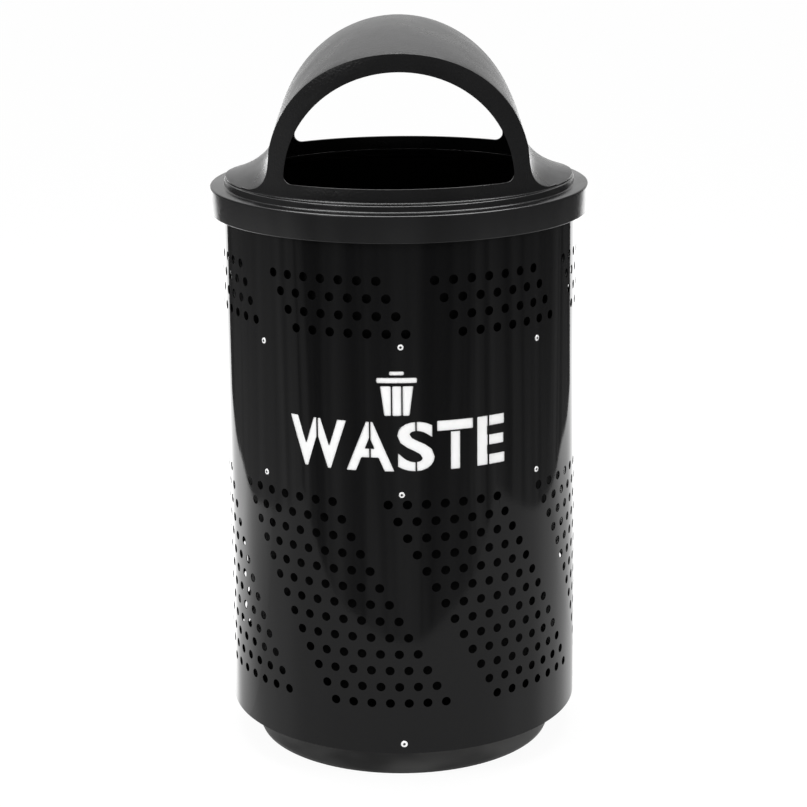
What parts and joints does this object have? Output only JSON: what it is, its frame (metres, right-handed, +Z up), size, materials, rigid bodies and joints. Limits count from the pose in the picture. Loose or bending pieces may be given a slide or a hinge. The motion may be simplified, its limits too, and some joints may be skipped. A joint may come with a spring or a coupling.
{
  "type": "outdoor trash can",
  "caption": "Round perforated steel trash can on a recessed base, with a hanging plastic liner and a lift-off hood lid open front and back.",
  "frame": {"origin": "centre of the foot, on the ground", "axes": "+Z up; the sign and one hood opening face -Y"},
  "size_m": [0.6489, 0.649, 1.262],
  "materials": {
    "black_steel": "gloss",
    "black_plastic": "matt",
    "liner_plastic": "satin",
    "white_steel": "satin",
    "rivet_metal": "bright"
  },
  "bodies": {
    "receptacle": {"outer_shell": "black_steel", "rim_hoop": "black_steel", "recessed_base": "black_steel", "base_rivets": "rivet_metal", "sign_backing_panel": "white_steel", "sign_rivets": "rivet_metal"},
    "liner_bin": {"liner": "liner_plastic"},
    "lid": {"hood_lid": "black_plastic"}
  },
  "joints": [
    {"name": "liner_lift", "type": "slide", "parent": "receptacle", "child": "liner_bin", "axis": [0, 0, 1], "range_m": [0, 0.95]},
    {"name": "lid_lift", "type": "slide", "parent": "liner_bin", "child": "lid", "axis": [0, 0, 1], "range_m": [0, 0.15]}
  ]
}
